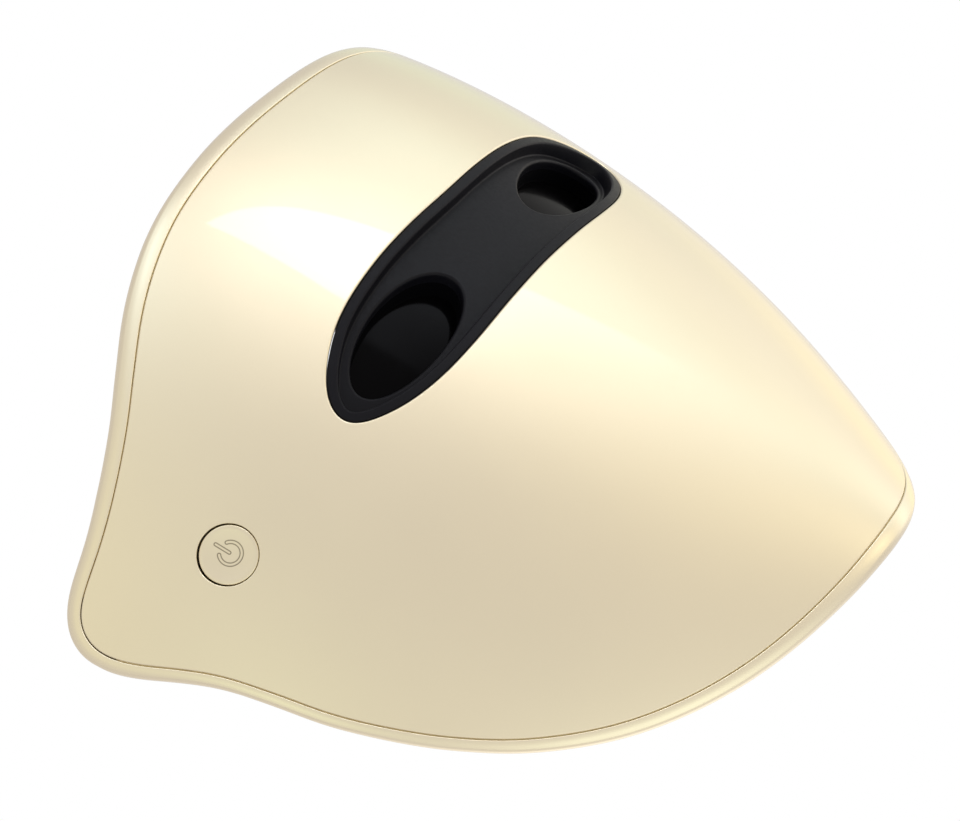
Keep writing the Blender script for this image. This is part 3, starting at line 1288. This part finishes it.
# pale floor
me = bpy.data.meshes.new("floor")
s = 6.0
me.from_pydata([(-s, -s, -0.0005), (s, -s, -0.0005), (s, s, -0.0005), (-s, s, -0.0005)], [], [(0, 1, 2, 3)])
floor = bpy.data.objects.new("floor", me)
bpy.context.scene.collection.objects.link(floor)
m, nt, bs = mat("floor_white")
bs.inputs["Base Color"].default_value = (0.9, 0.9, 0.9, 1)
bs.inputs["Roughness"].default_value = 0.9
em = nt.nodes.new("ShaderNodeEmission")
em.inputs["Strength"].default_value = 1.0
lp = nt.nodes.new("ShaderNodeLightPath")
mx = nt.nodes.new("ShaderNodeMixShader")
nt.links.new(lp.outputs["Is Camera Ray"], mx.inputs["Fac"])
nt.links.new(bs.outputs["BSDF"], mx.inputs[1])
nt.links.new(em.outputs["Emission"], mx.inputs[2])
nt.links.new(mx.outputs["Shader"], nt.nodes["Material Output"].inputs["Surface"])
floor.data.materials.append(m)

world = bpy.data.worlds.new("studio")
bpy.context.scene.world = world
world.use_nodes = True
nt = world.node_tree


def sph(az, el):
    a, e = math.radians(az), math.radians(el)
    return (math.sin(a) * math.cos(e), -math.cos(a) * math.cos(e), math.sin(e))


def wmath(op, *ins):
    n_ = nt.nodes.new("ShaderNodeMath")
    n_.operation = op
    for k, i_ in enumerate(ins):
        if isinstance(i_, (int, float)):
            n_.inputs[k].default_value = i_
        else:
            nt.links.new(i_, n_.inputs[k])
    return n_.outputs["Value"]


def wdot(d):
    n_ = nt.nodes.new("ShaderNodeVectorMath")
    n_.operation = "DOT_PRODUCT"
    nt.links.new(tcw.outputs["Generated"], n_.inputs[0])
    n_.inputs[1].default_value = d
    return n_.outputs["Value"]


def wstep(src, a, b2):
    n_ = nt.nodes.new("ShaderNodeMapRange")
    n_.interpolation_type = "SMOOTHSTEP"
    n_.inputs["From Min"].default_value, n_.inputs["From Max"].default_value = a, b2
    n_.inputs["To Min"].default_value, n_.inputs["To Max"].default_value = 0.0, 1.0
    nt.links.new(src, n_.inputs["Value"])
    return n_.outputs["Result"]


def wadd(total, fac, col):
    """total + fac * col"""
    sc = nt.nodes.new("ShaderNodeVectorMath")
    sc.operation = "SCALE"
    sc.inputs[0].default_value = col
    nt.links.new(fac, sc.inputs["Scale"])
    ad = nt.nodes.new("ShaderNodeVectorMath")
    ad.operation = "ADD"
    nt.links.new(total, ad.inputs[0])
    nt.links.new(sc.outputs["Vector"], ad.inputs[1])
    return ad.outputs["Vector"]


tcw = nt.nodes.new("ShaderNodeTexCoord")
start_ = nt.nodes.new("ShaderNodeCombineXYZ")
for k, v_ in enumerate((0.745, 0.718, 0.735)):
    start_.inputs[k].default_value = v_
total = start_.outputs["Vector"]
# soft lights: azimuth, elevation, sharpness, colour
for az, el, lam, *cl_ in ((-72, 18, 14, 0.785, 0.767, 0.654), (12, -42, 40, 1.099, 1.356, 1.513),
                          (-24, 30, 40, 1.215, 1.09, 0.651), (-48, -6, 40, 0.522, 0.729, 0.741),
                          (-108, 6, 40, 0.477, 0.347, 0.0), (60, 6, 40, 0.575, 0.702, 0.396),
                          (0, -18, 40, 0.802, 0.811, 0.8), (48, 54, 40, 1.059, 1.192, 0.992),
                          (60, -30, 40, 0.335, 0.337, 0.112), (-96, -18, 40, 0.094, 0.177, 0.027),
                          (175, 40, 8, 0.7, 0.7, 0.7)):
    e_ = wmath("EXPONENT", wmath("MULTIPLY", wmath("SUBTRACT", wdot(sph(az, el)), 1.0), float(lam)))
    total = wadd(total, e_, tuple(cl_))
# the large soft box: two crisp edges, fading to the far side
f1 = wstep(wdot((0.3764, -0.4156, 0.8280)), -0.006, 0.006)
f2 = wstep(wdot((-0.9233, 0.2278, -0.3091)), -0.010, 0.010)
f3 = wmath("SUBTRACT", 1.0, wstep(wdot((0.0, 0.0, 1.0)), -0.10, 0.06))
f4 = wstep(wdot(sph(-30, -8)), 0.80, 0.90)
fb = wmath("MULTIPLY", wmath("MULTIPLY", f1, f2), wmath("MULTIPLY", f3, f4))
total = wadd(total, fb, (2.5, 2.6, 2.9))
bg = nt.nodes["Background"]
nt.links.new(total, bg.inputs["Color"])
bg.inputs["Strength"].default_value = 1.0
bg2 = nt.nodes.new("ShaderNodeBackground")
bg2.inputs["Color"].default_value = (1, 1, 1, 1)
bg2.inputs["Strength"].default_value = 1.0
lp = nt.nodes.new("ShaderNodeLightPath")
mx = nt.nodes.new("ShaderNodeMixShader")
nt.links.new(lp.outputs["Is Camera Ray"], mx.inputs["Fac"])
nt.links.new(bg.outputs["Background"], mx.inputs[1])
nt.links.new(bg2.outputs["Background"], mx.inputs[2])
nt.links.new(mx.outputs["Shader"], nt.nodes["World Output"].inputs["Surface"])
floor.visible_glossy = False
bpy.context.scene.view_settings.view_transform = "Standard"
